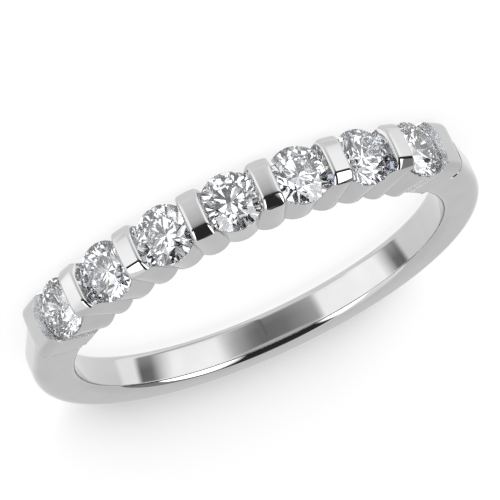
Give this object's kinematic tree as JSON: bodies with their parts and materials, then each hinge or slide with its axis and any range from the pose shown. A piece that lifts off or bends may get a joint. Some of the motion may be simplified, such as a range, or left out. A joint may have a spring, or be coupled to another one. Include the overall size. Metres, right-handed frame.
{
  "type": "bar set band",
  "caption": "Slim polished ring whose upper part is a row of round brilliant cut stones held between smooth upright bars, with a scalloped gallery and rounded shoulders.",
  "frame": {"origin": "on the axis of the finger hole, at mid width of the band", "axes": "+Z along the axis of the finger hole, +Y to the middle stone, +X along the row of stones; the ring lies on its side"},
  "size_m": [0.0206, 0.0212, 0.0026],
  "materials": {
    "polished_metal": "mirror polished white precious metal",
    "clear_stone": "colourless facet-cut stone"
  },
  "bodies": {
    "root": {"band": "polished_metal", "stone_1": "clear_stone", "stone_2": "clear_stone", "stone_3": "clear_stone", "stone_4": "clear_stone", "stone_5": "clear_stone", "stone_6": "clear_stone", "stone_7": "clear_stone"}
  },
  "joints": []
}
